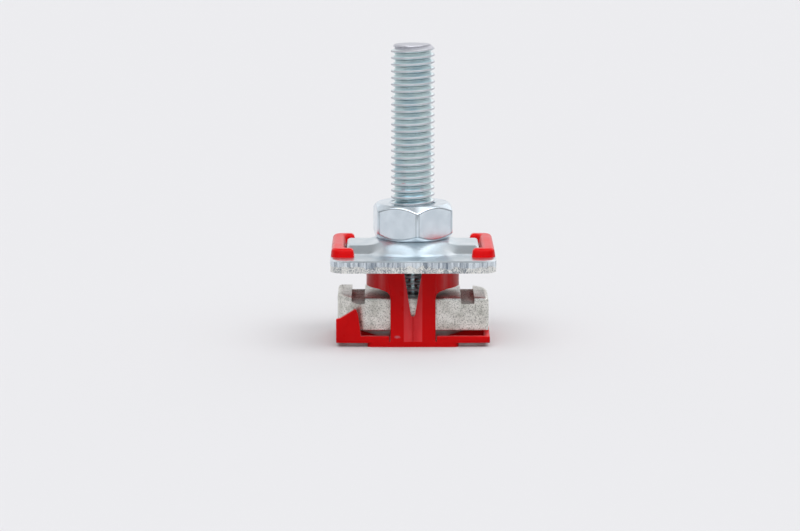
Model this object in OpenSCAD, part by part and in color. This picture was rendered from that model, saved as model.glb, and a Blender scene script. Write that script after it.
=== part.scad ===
// Strut quick fastener: a threaded stud screwed into a hammer-head channel nut, a pressed clamp
// plate under a hexagon nut, and one moulded spring cage that holds the pieces together.
// Sizes are in millimetres. The stud stands along +Z, channel lips pass along Y, the front faces -Y.
// The origin is the middle of the cage's underside, on the stud's axis.

/* [Stud] */
// Outside diameter of the thread
stud_d = 9.85; // [9.4:0.05:10.2]
// Pitch diameter, where the thread and the nuts' threads share the material
pitch_d = 9.03; // [8.6:0.01:9.2]
// Pitch of the thread
thread_pitch = 1.5; // [1:0.25:2]
// Depth of the thread from crest to root
thread_depth = 0.92; // [0.5:0.02:1.1]
// Width of a thread crest
thread_crest = 0.3; // [0.1:0.05:0.5]
// Length standing clear above the hexagon nut
stud_free = 35.75; // [15:0.25:80]
// Diameter of the flat end face
stud_tip_d = 8.2; // [6:0.1:9]
// Height of the chamfer at the free end
stud_chamfer = 0.95; // [0.4:0.05:2]

/* [Hexagon nut] */
// Width across flats
nut_af = 17; // [15:0.5:19]
// Height
nut_h = 8; // [5:0.5:12]
// Diameter of the flat ring left by the corner chamfer
nut_face_d = 16; // [13:0.1:16.5]
// Angle of the corner chamfer
nut_chamfer_deg = 40; // [15:1:45]
// Diameter of the countersunk thread mouths
nut_mouth_d = 10.8; // [10.3:0.1:12]
// Turn of the front corner away from the front
nut_turn_deg = 6; // [-30:1:30]

/* [Clamp plate] */
// Width across the channel
plate_w = 37; // [34:0.5:44]
// Depth along the channel
plate_d = 35; // [30:0.5:44]
// Sheet thickness
plate_t = 2.75; // [2:0.25:4]
// Corner radius
plate_corner_r = 3.5; // [1:0.5:6]
// Length of the raised bridge across the plate
bridge_l = 29.6; // [27:0.2:31]
// Width of the bridge's level top
bridge_w = 10.3; // [8:0.1:12]
// Rise of the bridge above the sheet
bridge_rise = 1.75; // [1:0.05:2.3]
// Width of the bridge's sloping sides
bridge_run = 4; // [2.5:0.1:4.3]
// Rounding of the bridge's ends
bridge_end_r = 3; // [0.5:0.5:4]
// Diameter of the level seat under the nut
seat_d = 15.3; // [14:0.1:18]
// Rise of the seat above the sheet
seat_rise = 2.75; // [2.4:0.05:4]
// Width of the slope around the seat
seat_run = 6; // [4:0.1:7]
// Diameter of the stud's hole
plate_hole_d = 11; // [10.4:0.1:14]

/* [Channel nut] */
// Length across the channel
head_l = 34; // [31:0.5:36]
// Width along the channel, which passes the slot
head_w = 18.6; // [16:0.2:20]
// Thickness
head_h = 7.5; // [5:0.25:10]
// Radius of the two corners rounded for turning
head_turn_r = 7; // [3:0.5:8]
// Bevel along the top edges
head_bevel = 0.9; // [0.3:0.1:1.5]
// Distance of each lip groove from the axis
groove_x = 10.8; // [10:0.1:11.5]
// Width of each lip groove
groove_w = 3; // [2:0.1:4]
// Depth of each lip groove
groove_depth = 1; // [0.8:0.05:1.4]
// Pitch of the teeth along a groove
tooth_pitch = 2; // [1:0.1:3]
// Height of the teeth
tooth_h = 0.6; // [0.2:0.05:0.75]

/* [Spring cage] */
// Diameter of the round sleeve that guides in the slot
sleeve_d = 21; // [20:0.1:21.4]
// Wall of the sleeve
sleeve_wall = 2.3; // [1.5:0.1:3]
// Height of the sleeve
sleeve_h = 5.2; // [4:0.1:6]
// Height of the gap for the channel lips
lip_gap = 6.85; // [6.3:0.05:9]
// Width of the front and back posts
post_w = 10.1; // [8:0.1:11]
// Thickness of a post
post_t = 1.5; // [1.2:0.1:2]
// Fillet where a post runs into the sleeve
post_fillet = 1.5; // [0.5:0.1:1.6]
// Width of the wing that carries a post's face round onto the sleeve
wing_run = 2.6; // [2:0.1:3]
// Half width of the shallow vee down a post
vee_half_w = 2.2; // [1.2:0.1:3]
// Depth of the shallow vee
vee_depth = 0.35; // [0.1:0.05:0.6]
// Width of the tapered opening at its top
notch_w = 4; // [3:0.1:5]
// Width of the tapered opening at its tip
notch_tip_w = 1; // [0.6:0.1:1.6]
// Depth of the tapered opening
notch_depth = 10.3; // [6:0.1:11]
// Height of the slanted corners beside the opening
flare_h = 1.3; // [0.6:0.1:2]
// Backward tilt of the slanted corners
flare_tilt_deg = 28; // [15:1:40]
// Turn of the slanted corners towards the opening
flare_turn_deg = 17; // [8:1:25]
// Width of the base
base_w = 20.5; // [16:0.1:21]
// Thickness of the base
base_t = 1.2; // [0.8:0.1:1.6]
// Height of the spring leaves under the channel nut
leaf_lift = 2.25; // [2:0.05:4]
// Width of a spring leaf
leaf_w = 8; // [5:0.5:12]
// Length of a leaf's root inside the base
leaf_root = 3; // [1.5:0.5:5]
// Width over the ends of the cage
cage_w = 34.5; // [33:0.5:36]
// Height of the side arms
arm_h = 1.45; // [1:0.05:1.8]
// Lift of the side arms above the underside
arm_lift = 0.95; // [0.5:0.05:1.4]
// Height of the corner horns
horn_h = 7.6; // [4:0.1:9]
// Width of the corner horns
horn_w = 5.75; // [4:0.25:8]
// Length of a pad, from the plate's edge inwards
pad_l = 5.3; // [4.5:0.1:6]
// Depth of a pad along the channel
pad_d = 24.8; // [24.5:0.1:28]
// Height of a pad above the sheet
pad_h = 1.95; // [1.5:0.05:3]
// Depth of a pad's two arms
pad_arm = 2.9; // [2:0.1:3]
// Rounding along a pad's front and back edges
pad_edge_r = 1.7; // [0.3:0.1:1.9]
// Rounding along a pad's sides
pad_side_r = 0.8; // [0.2:0.1:1.2]
// Rounding of a pad's corners in plan
pad_corner_r = 1.2; // [0.3:0.1:1.4]
// Rounding of a pad's inner corners
pad_inner_r = 1.2; // [0.4:0.1:1.8]
// Thickness of the straps under the bridge
strap_t = 1.55; // [1:0.05:1.6]
// Width of the straps
strap_w = 11.8; // [8:0.2:12]

/* [Fits] */
// Radial clearance between the stud and the pieces screwed onto it
thread_gap = 0.05; // [0.02:0.01:0.09]
// Clearance between the nut and its seat
seat_gap = 0.02; // [0.01:0.01:0.05]
// Clearance between the moulding and the metal
part_gap = 0.2; // [0.1:0.05:0.4]

/* [Hidden] */
$fn = 96;
eps = 0.02;
slope_foot = 0.17;
slope_brow = 0.06;
slope_at = concat([for (i = [0 : 4]) slope_foot * i / 2], [for (i = [2 : -1 : 0]) 1 - slope_brow * i]);
head_z = base_t + leaf_lift;
head_top = head_z + head_h;
plate_z = head_top + lip_gap;
sheet_top = plate_z + plate_t;
nut_z = sheet_top + seat_rise + seat_gap;
nut_top = nut_z + nut_h;
stud_top = nut_top + stud_free;
stud_r = stud_d / 2;
root_r = stud_r - thread_depth;
pitch_r = pitch_d / 2;
bore_r = pitch_r + thread_gap;
nut_corner_r = nut_af / 2 / cos(30);
post_in = head_w / 2 + part_gap;
post_out = post_in + post_t;
sleeve_r = sleeve_d / 2;
sleeve_in = sleeve_r - sleeve_wall;
sleeve_z = plate_z - sleeve_h;
arm_in = post_w / 2 + 0.3;
pad_out = plate_w / 2 - 0.1;
pad_in = pad_out - pad_l;
web_in = bridge_l / 2 + 0.5;

// Pressed slope from 0 to 1: a straight ramp with a wide foot and a tighter brow
function ramp(t) =
  let (lean = 1 / (1 - slope_foot - slope_brow))
  t < 2 * slope_foot ? lean * t * t / (4 * slope_foot)
  : t > 1 - 2 * slope_brow ? 1 - lean * (1 - t) * (1 - t) / (4 * slope_brow)
  : lean * (t - slope_foot);

// Half outline of the thread as plain rings between two heights, which start and end on a crest
function thread_rings(low, high) =
  let (start = high - floor((high - low) / thread_pitch) * thread_pitch)
  [for (z = [start : thread_pitch : high - thread_pitch + eps]) each [
    [stud_r, z + thread_crest / 2],
    [root_r, z + thread_pitch / 2],
    [stud_r, z + thread_pitch - thread_crest / 2]
  ]];

// Rectangle with rounded corners, centred
module rounded_rect(w, d, r) {
  square([w - 2 * r, d], center = true);
  square([w, d - 2 * r], center = true);
  for (sx = [-1, 1], sy = [-1, 1])
    translate([sx * (w / 2 - r), sy * (d / 2 - r)])
      circle(r = r);
}

// Upright outline on the base line, with both top corners rounded as far as its height allows
module round_top(w, h, r) {
  k = min(r, h * 0.95);
  translate([-w / 2, 0])
    square([w, h - k]);
  translate([-w / 2 + k, 0])
    square([w - 2 * k, h]);
  for (s = [-1, 1])
    translate([s * (w / 2 - k), h - k])
      intersection() {
        circle(r = k);
        translate([-k, 0])
          square([2 * k, k]);
      }
}

// Extrusion of an X and Z outline along Y, from y0 to y1
module along_y(y0, y1) {
  translate([0, y1, 0])
    rotate([90, 0, 0])
      linear_extrude(height = y1 - y0)
        children();
}

// Extrusion of a Y and Z outline along X, from x0 to x1
module along_x(x0, x1) {
  translate([x0, 0, 0])
    rotate([90, 0, 90])
      linear_extrude(height = x1 - x0)
        children();
}

// Threaded stud: plain rings for its thread where it stands clear, and its pitch diameter further down
module threaded_stud() {
  thread_end = stud_top - stud_chamfer;
  color("silver")
    rotate_extrude()
      polygon(concat(
        [[0, head_z], [pitch_r, head_z], [pitch_r, nut_top], [stud_r, nut_top]],
        thread_rings(nut_top, thread_end),
        [[stud_r, thread_end], [stud_tip_d / 2, stud_top], [0, stud_top]]
      ));
}

// Hexagon nut, chamfered and countersunk at both ends
module hex_nut() {
  over = nut_corner_r + 0.1;
  drop = (over - nut_face_d / 2) * tan(nut_chamfer_deg);
  sink = nut_mouth_d / 2 - bore_r;
  color("silver")
    translate([0, 0, nut_z])
      difference() {
        intersection() {
          rotate([0, 0, nut_turn_deg - 90])
            cylinder(r = nut_corner_r, h = nut_h, $fn = 6);
          rotate_extrude()
            polygon([
              [0, 0],
              [nut_face_d / 2, 0],
              [over, drop],
              [over, nut_h - drop],
              [nut_face_d / 2, nut_h],
              [0, nut_h]
            ]);
        }
        rotate_extrude()
          polygon([
            [0, -1],
            [bore_r + sink + 1, -1],
            [bore_r, sink],
            [bore_r, nut_h - sink],
            [bore_r + sink + 1, nut_h + 1],
            [0, nut_h + 1]
          ]);
      }
}

// Outline of the bridge across its length, sunk a little into the sheet
module bridge_outline() {
  half = bridge_w / 2;
  side = [for (t = slope_at) [half + bridge_run * (1 - t), bridge_rise * ramp(t)]];
  polygon(concat(
    [[-half - bridge_run, -0.5], [half + bridge_run, -0.5]],
    side,
    [for (i = [len(side) - 1 : -1 : 0]) [-side[i][0], side[i][1]]]
  ));
}

// Round rise that carries the nut
module seat_rise_solid() {
  r = seat_d / 2;
  rotate_extrude()
    polygon(concat(
      [[0, -0.5], [r + seat_run, -0.5]],
      [for (t = slope_at) [r + seat_run * (1 - t), seat_rise * ramp(t)]],
      [[0, seat_rise]]
    ));
}

// Pressed sheet with a raised bridge, a nut seat, and a notch at each end for the pads
module clamp_plate() {
  notch_half = strap_w / 2 + part_gap;
  color("lightsteelblue")
    difference() {
      union() {
        translate([0, 0, plate_z])
          linear_extrude(height = plate_t)
            rounded_rect(plate_w, plate_d, plate_corner_r);
        translate([0, 0, sheet_top])
          intersection() {
            along_x(-bridge_l / 2 - 1, bridge_l / 2 + 1)
              bridge_outline();
            translate([0, 0, -1])
              linear_extrude(height = bridge_rise + 2)
                rounded_rect(bridge_l, bridge_w + 2 * bridge_run, bridge_end_r);
          }
        translate([0, 0, sheet_top])
          seat_rise_solid();
      }
      translate([0, 0, plate_z - 1])
        cylinder(d = plate_hole_d, h = plate_t + seat_rise + 2);
      translate([0, 0, plate_z - 1])
        cylinder(r = sleeve_in, h = 1 + bridge_rise);
      translate([-plate_w, -notch_half, plate_z - 1])
        cube([2 * plate_w, 2 * notch_half, 1 + bridge_rise]);
      for (sx = [-1, 1])
        translate([sx * (bridge_l / 2 + plate_w / 2), 0, sheet_top])
          cube([plate_w, 2 * notch_half, 4 * plate_t], center = true);
    }
}

// Plan of the channel nut: two opposite corners are rounded so that it can turn in the channel
module head_plan() {
  square_r = 0.8;
  for (a = [0, 180])
    rotate([0, 0, a]) {
      translate([-head_l / 2 + head_turn_r, -head_w / 2 + head_turn_r])
        circle(r = head_turn_r);
      translate([-head_l / 2 + square_r, head_w / 2 - square_r])
        circle(r = square_r);
      translate([-head_l / 2 + head_turn_r, -head_w / 2])
        square([head_l - head_turn_r - square_r, head_w / 2]);
      translate([-head_l / 2, -head_w / 2 + head_turn_r])
        square([head_l / 2, head_w - head_turn_r - square_r]);
      translate([-head_l / 2 + square_r, 0])
        square([head_l / 2, head_w / 2]);
    }
}

// Y and Z outline of a toothed lip groove
module groove_outline() {
  count = floor(head_w / tooth_pitch) + 1;
  start = -count * tooth_pitch / 2;
  floor_z = head_top - groove_depth;
  polygon(concat(
    [[start + count * tooth_pitch, head_top + 1], [start, head_top + 1]],
    [for (i = [0 : 2 * count])
      [start + i * tooth_pitch / 2, floor_z + (i % 2 == 0 ? 0 : -tooth_h)]]
  ));
}

// Hammer-head channel nut with bevelled top edges, toothed grooves and a tapped hole
module channel_nut() {
  color("gainsboro")
    difference() {
      intersection() {
        translate([0, 0, head_z])
          linear_extrude(height = head_h)
            head_plan();
        along_x(-head_l, head_l)
          polygon([
            [-head_w, head_z - 1],
            [head_w, head_z - 1],
            [head_w, head_top - head_bevel - head_w / 2],
            [head_w / 2 - head_bevel, head_top],
            [-head_w / 2 + head_bevel, head_top],
            [-head_w, head_top - head_bevel - head_w / 2]
          ]);
      }
      for (a = [0, 180])
        rotate([0, 0, a])
          along_x(groove_x, groove_x + groove_w)
            groove_outline();
      translate([0, 0, head_z - 1])
        cylinder(r = bore_r, h = head_h + 2);
    }
}

// C-shaped pad with rounded edges, right-hand side, standing on the base plane
module pad() {
  middle = (pad_in + pad_out) / 2;
  intersection() {
    linear_extrude(height = pad_h)
      difference() {
        translate([middle, 0])
          rounded_rect(pad_l, pad_d, pad_corner_r);
        translate([pad_in, 0])
          rounded_rect(2 * (web_in - pad_in), pad_d - 2 * pad_arm, pad_inner_r);
      }
    along_x(pad_in - 1, pad_out + 1)
      round_top(pad_d, pad_h, pad_edge_r);
    along_y(-pad_d, pad_d)
      translate([middle, 0])
        round_top(pad_l, pad_h, pad_side_r);
  }
}

// Pad on the plate with the strap that runs back under the bridge, right-hand side
module pad_and_strap() {
  translate([0, 0, sheet_top])
    pad();
  translate([web_in, -strap_w / 2, plate_z])
    cube([pad_out - web_in, strap_w, plate_t + pad_h * 0.4]);
  difference() {
    translate([0, -strap_w / 2, plate_z])
      cube([pad_out, strap_w, strap_t]);
    translate([0, 0, plate_z - 1])
      cylinder(r = sleeve_in, h = strap_t + 2);
  }
}

// Plan of a front post with the wings that carry its face round onto the sleeve
module wing_plan() {
  half = post_w / 2;
  back = sleeve_r * 0.68;
  drop = post_out - back;
  right = [
    [half, -post_out],
    [half + wing_run * 0.42, -post_out + drop * 0.21],
    [half + wing_run * 0.75, -post_out + drop * 0.54],
    [half + wing_run, -back]
  ];
  polygon(concat(right, [for (i = [len(right) - 1 : -1 : 0]) [-right[i][0], right[i][1]]]));
}

// Front post with its wings, the fillets under them, its shallow vee and the slanted top corners
module post() {
  half = post_w / 2;
  difference() {
    union() {
      translate([-half, -post_out, 0])
        cube([post_w, post_t, plate_z]);
      translate([0, 0, sleeve_z])
        linear_extrude(height = sleeve_h)
          wing_plan();
      intersection() {
        translate([0, 0, sleeve_z - 2 * post_fillet])
          linear_extrude(height = 3 * post_fillet)
            wing_plan();
        for (sx = [-1, 1])
          along_y(-post_out - 1, -post_in)
            difference() {
              translate([sx * (half + post_fillet / 2), sleeve_z - post_fillet / 2 + eps])
                square([post_fillet + 2 * eps, post_fillet + 2 * eps], center = true);
              translate([sx * (half + post_fillet), sleeve_z - post_fillet])
                circle(r = post_fillet - eps);
            }
      }
    }
    translate([0, -post_out, -1])
      linear_extrude(height = plate_z + 2)
        polygon([[-vee_half_w, -eps], [vee_half_w, -eps], [0, vee_depth]]);
    for (sx = [-1, 1])
      translate([sx * notch_w / 2, -post_out, plate_z - flare_h])
        rotate([-flare_tilt_deg, 0, -sx * flare_turn_deg])
          translate([sx * half / 2, -post_t, 0])
            cube([half + 0.5, 2 * post_t, 6 * flare_h], center = true);
  }
}

// Corner horn beside the rounded corner of the channel nut, front left
module horn() {
  out = -cage_w / 2;
  along_y(-post_out, -post_in)
    polygon([
      [out, arm_lift],
      [out + horn_w, arm_lift],
      [out + horn_w - 0.3, arm_lift + horn_h * 0.35],
      [out + horn_w - 0.8, arm_lift + horn_h * 0.85],
      [out + horn_w - 1.2, arm_lift + horn_h * 0.98],
      [out + horn_w - 1.6, arm_lift + horn_h],
      [out + horn_w - 2.1, arm_lift + horn_h * 0.95],
      [out + 1, arm_lift + horn_h * 0.74],
      [out, arm_lift + horn_h * 0.7]
    ]);
}

// Base with its spring leaves, end bars, side arms and corner horns
module tray() {
  end_t = 1.25;
  out = cage_w / 2;
  linear_extrude(height = base_t)
    rounded_rect(base_w, 2 * post_out, 1.2);
  for (a = [0, 180])
    rotate([0, 0, a]) {
      along_y(-leaf_w / 2, leaf_w / 2)
        polygon([
          [base_w / 2 - leaf_root, 0.2],
          [base_w / 2 - 1, 0.2],
          [out - 1.5, arm_lift],
          [out, arm_lift],
          [out, head_z - 0.1],
          [out - 2, head_z - 0.1],
          [base_w / 2 - leaf_root, base_t]
        ]);
      translate([out - end_t, -post_out, arm_lift])
        cube([end_t, 2 * post_out, arm_h]);
      for (sx = [-1, 1])
        translate([sx * (arm_in + out) / 2, -(post_in + post_out) / 2, arm_lift + arm_h / 2])
          cube([out - arm_in, post_t, arm_h], center = true);
      horn();
    }
}

// One moulding: sleeve, posts, base, leaves, arms, horns, straps and pads
module spring_cage() {
  tip_r = notch_tip_w / 2;
  tip_z = plate_z - notch_depth + tip_r;
  color("red")
    difference() {
      union() {
        difference() {
          union() {
            translate([0, 0, sleeve_z])
              cylinder(r = sleeve_r, h = sleeve_h);
            for (a = [0, 180])
              rotate([0, 0, a])
                post();
          }
          translate([0, 0, sleeve_z - 1])
            cylinder(r = sleeve_in, h = sleeve_h + 2);
        }
        tray();
        for (a = [0, 180])
          rotate([0, 0, a])
            pad_and_strap();
      }
      along_y(-sleeve_d, sleeve_d) {
        polygon([
          [-tip_r, tip_z],
          [tip_r, tip_z],
          [notch_w / 2, plate_z],
          [-notch_w / 2, plate_z]
        ]);
        translate([0, tip_z])
          circle(r = tip_r);
      }
    }
}

threaded_stud();
hex_nut();
clamp_plate();
channel_nut();
spring_cage();
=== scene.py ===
"""Dressed scene of the strut quick fastener.

Every CAD node is stood for by a detailed piece: a rolled stud, a hexagon nut, a pressed clamp
plate, a toothed channel nut and one red moulded spring cage. Sizes in the classes are millimetres.
Meshes are shaped in millimetres and settled into metres, in the CAD frame, as their last step.
"""

import logging
import math
from dataclasses import dataclass
from enum import Enum

import bmesh
import bpy
from mathutils import Matrix, Vector


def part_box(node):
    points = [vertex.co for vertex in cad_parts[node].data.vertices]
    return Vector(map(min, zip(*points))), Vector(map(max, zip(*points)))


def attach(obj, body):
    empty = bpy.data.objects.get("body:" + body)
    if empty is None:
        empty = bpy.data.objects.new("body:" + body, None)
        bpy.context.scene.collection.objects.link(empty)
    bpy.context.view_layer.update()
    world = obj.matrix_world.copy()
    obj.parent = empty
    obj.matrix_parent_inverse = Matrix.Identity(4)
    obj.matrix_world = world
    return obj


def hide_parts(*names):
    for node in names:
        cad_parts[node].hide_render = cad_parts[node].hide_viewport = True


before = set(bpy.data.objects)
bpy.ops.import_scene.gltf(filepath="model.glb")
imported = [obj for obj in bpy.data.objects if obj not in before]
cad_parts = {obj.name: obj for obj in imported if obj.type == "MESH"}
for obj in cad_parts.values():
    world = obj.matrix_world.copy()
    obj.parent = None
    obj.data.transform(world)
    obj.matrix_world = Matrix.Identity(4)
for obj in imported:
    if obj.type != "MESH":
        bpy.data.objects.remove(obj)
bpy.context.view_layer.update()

log = logging.getLogger("fastener")
MM = 0.001
JOIN = 1e-4  # points closer together than this, in millimetres, become one
PLANE = 1e-6  # points this close to a cutting plane, in millimetres, lie on it
TALL = 1.0  # an edge that rises more than this, in millimetres, is upright
UNIT_HALF = 0.5  # half the width of a unit grid
NOISE_SPAN = (0.3, 0.7)  # nearly all values of a noise texture lie between these


class Body(Enum):
    """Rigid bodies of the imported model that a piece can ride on."""

    FASTENER = "fastener"
    NUT = "nut"


class Cut(Enum):
    """Ways of combining a piece with a tool solid."""

    REMOVE = "DIFFERENCE"
    KEEP = "INTERSECT"
    ADD = "UNION"


def linear(code: str) -> tuple[float, float, float, float]:
    """Turns an sRGB hex value into a linear colour.

    Args:
        code: colour such as "#C5D3D8".

    Returns:
        Linear red, green, blue and an alpha of 1.
    """
    parts = [int(code[i:i + 2], 16) / 255 for i in (1, 3, 5)]
    red, green, blue = [p / 12.92 if p <= 0.04045 else ((p + 0.055) / 1.055) ** 2.4 for p in parts]
    return red, green, blue, 1.0


def ease(share: float) -> float:
    """Smooth step of a share that is first held between 0 and 1."""
    held = min(1.0, max(0.0, share))
    return held * held * (3 - 2 * held)


def ramp(share: float, foot: float = 0.17, brow: float = 0.06) -> float:
    """Rise of a pressed slope: a straight ramp with a wide foot and a tighter brow.

    Args:
        share: place on the slope, from 0 at the sheet to 1 at the top.
        foot: half width of the rounded foot, as a share of the slope.
        brow: half width of the rounded brow, as a share of the slope.

    Returns:
        Share of the full rise, from 0 to 1.
    """
    held = min(1.0, max(0.0, share))
    lean = 1 / (1 - foot - brow)
    if held < 2 * foot:
        return lean * held * held / (4 * foot)
    if held > 1 - 2 * brow:
        return 1 - lean * (1 - held) ** 2 / (4 * brow)
    return lean * (held - foot)


def soft_min(first: float, second: float, reach: float) -> float:
    """Lesser of two lengths, rounded over where they come within a reach of each other."""
    blend = max(0.0, reach - abs(first - second)) / reach
    return min(first, second) - blend * blend * reach / 4


def rounded_gap(x: float, y: float, half_x: float, half_y: float, corner: float) -> float:
    """Distance from a point inwards to a rectangle with rounded corners, negative outside it."""
    across, along = abs(x) - half_x + corner, abs(y) - half_y + corner
    return corner - math.hypot(max(across, 0), max(along, 0)) - min(max(across, along), 0)


def add_node(tree: bpy.types.NodeTree, kind: str, inputs: dict[str | int, object] | None = None,
             **settings: object) -> bpy.types.Node:
    """Adds one shader node with its settings, values and links.

    Args:
        tree: node tree that takes the node.
        kind: Blender's node type.
        inputs: socket name or number to a constant, or to the output socket that feeds it.
        **settings: the node's own properties.

    Returns:
        The new node.
    """
    node = tree.nodes.new(kind)
    for key, value in settings.items():
        setattr(node, key, value)
    for key, value in (inputs or {}).items():
        if isinstance(value, bpy.types.NodeSocket):
            tree.links.new(value, node.inputs[key])
        else:
            node.inputs[key].default_value = value
    return node


def new_material(name: str) -> tuple[bpy.types.Material, bpy.types.NodeTree]:
    """Starts a node material with an empty tree.

    Args:
        name: name of the finish.

    Returns:
        The material and its node tree.
    """
    made = bpy.data.materials.new(name)
    made.use_nodes = True
    made.node_tree.nodes.clear()
    return made, made.node_tree


def axis_reach(tree: bpy.types.NodeTree, place: bpy.types.NodeSocket) -> bpy.types.NodeSocket:
    """Socket with a place's distance from the stud's axis.

    Args:
        tree: node tree that takes the nodes.
        place: socket with the place on the object.

    Returns:
        Socket with the distance, in metres.
    """
    flat = add_node(tree, "ShaderNodeVectorMath", {0: place, 1: (1.0, 1.0, 0.0)},
                    operation="MULTIPLY")
    reach = add_node(tree, "ShaderNodeVectorMath", {0: flat.outputs[0]}, operation="LENGTH")
    return reach.outputs["Value"]


def face_outwards(bm: bmesh.types.BMesh) -> None:
    """Makes a mesh's faces agree, and turns them outwards where they enclose a volume.

    Args:
        bm: mesh that is changed.
    """
    bmesh.ops.recalc_face_normals(bm, faces=bm.faces)
    if bm.calc_volume(signed=True) < 0:
        bmesh.ops.reverse_faces(bm, faces=bm.faces)


def new_object(bm: bmesh.types.BMesh, name: str) -> bpy.types.Object:
    """Closes the seams of a mesh, turns its faces outwards and links it as an object.

    Args:
        bm: finished mesh, which is freed.
        name: name of the object and of its mesh.

    Returns:
        The object, still in millimetres.
    """
    bmesh.ops.remove_doubles(bm, verts=bm.verts, dist=JOIN)
    mesh = bpy.data.meshes.new(name)
    face_outwards(bm)
    bm.to_mesh(mesh)
    bm.free()
    made = bpy.data.objects.new(name, mesh)
    bpy.context.scene.collection.objects.link(made)
    return made


def bake_modifiers(made: bpy.types.Object) -> None:
    """Writes an object's modifiers into its mesh.

    Args:
        made: object that is changed.
    """
    graph = bpy.context.evaluated_depsgraph_get()
    mesh = bpy.data.meshes.new_from_object(made.evaluated_get(graph))
    old = made.data
    made.modifiers.clear()
    made.data = mesh
    bpy.data.meshes.remove(old)


def combine(made: bpy.types.Object, tool: bpy.types.Object, way: Cut) -> None:
    """Cuts or joins an object with a tool solid, which is then removed.

    Args:
        made: object that is changed.
        tool: solid that shapes it.
        way: what is kept.
    """
    step = made.modifiers.new("combine", "BOOLEAN")
    step.operation = way.value
    step.object = tool
    step.solver = "MANIFOLD"
    bake_modifiers(made)
    mesh = tool.data
    bpy.data.objects.remove(tool)
    bpy.data.meshes.remove(mesh)


def lathe(points: list[tuple[float, float]], steps: int, closed: bool) -> bmesh.types.BMesh:
    """Spins an outline of radius and height about the stud's axis.

    Args:
        points: radius and height of each outline point.
        steps: number of facets around.
        closed: whether the outline's last point joins its first.

    Returns:
        The spun mesh.
    """
    bm = bmesh.new()
    verts = [bm.verts.new((radius, 0, height)) for radius, height in points]
    pairs = list(zip(verts, verts[1:])) + ([(verts[-1], verts[0])] if closed else [])
    edges = [bm.edges.new(pair) for pair in pairs]
    bmesh.ops.spin(bm, geom=verts + edges, cent=(0, 0, 0), axis=(0, 0, 1), angle=math.tau,
                   steps=steps, use_merge=True)
    return bm


def prism(outline: list[tuple[float, float]], low: float, high: float) -> bmesh.types.BMesh:
    """Extrudes a flat X and Y outline from one height to another.

    Args:
        outline: corners in order.
        low: height of the lower face.
        high: height of the upper face.

    Returns:
        The closed solid.
    """
    bm = bmesh.new()
    face = bm.faces.new([bm.verts.new((x, y, low)) for x, y in outline])
    grown = bmesh.ops.extrude_face_region(bm, geom=[face], use_keep_orig=True)
    moved = [v for v in grown["geom"] if isinstance(v, bmesh.types.BMVert)]
    bmesh.ops.translate(bm, verts=moved, vec=(0, 0, high - low))
    return bm


def rectangle(left: float, right: float, front: float, back: float) -> list[tuple[float, float]]:
    """Corners of a rectangle in order."""
    return [(left, front), (right, front), (right, back), (left, back)]


def block(width: float, depth: float, low: float, high: float) -> bmesh.types.BMesh:
    """Makes a plain block about the stud's axis.

    Args:
        width: size along X.
        depth: size along Y.
        low: height of the lower face.
        high: height of the upper face.

    Returns:
        The closed solid.
    """
    bm = bmesh.new()
    bmesh.ops.create_cube(bm, size=1)
    bmesh.ops.scale(bm, verts=bm.verts, vec=(width, depth, high - low))
    bmesh.ops.translate(bm, verts=bm.verts, vec=(0, 0, (low + high) / 2))
    return bm


def upright_edges(bm: bmesh.types.BMesh) -> list[bmesh.types.BMEdge]:
    """Edges of a block that run from its lower face to its upper one."""
    return [e for e in bm.edges if abs(e.verts[0].co.z - e.verts[1].co.z) > TALL]


def round_edges(bm: bmesh.types.BMesh, edges: list[bmesh.types.BMEdge], radius: float,
                parts: int) -> None:
    """Rounds edges over.

    Args:
        bm: mesh that is changed.
        edges: edges of it to round.
        radius: radius of the rounding.
        parts: number of facets across it.
    """
    bmesh.ops.bevel(bm, geom=edges, offset=radius, segments=parts, profile=0.5, affect="EDGES",
                    material=-1)


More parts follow.
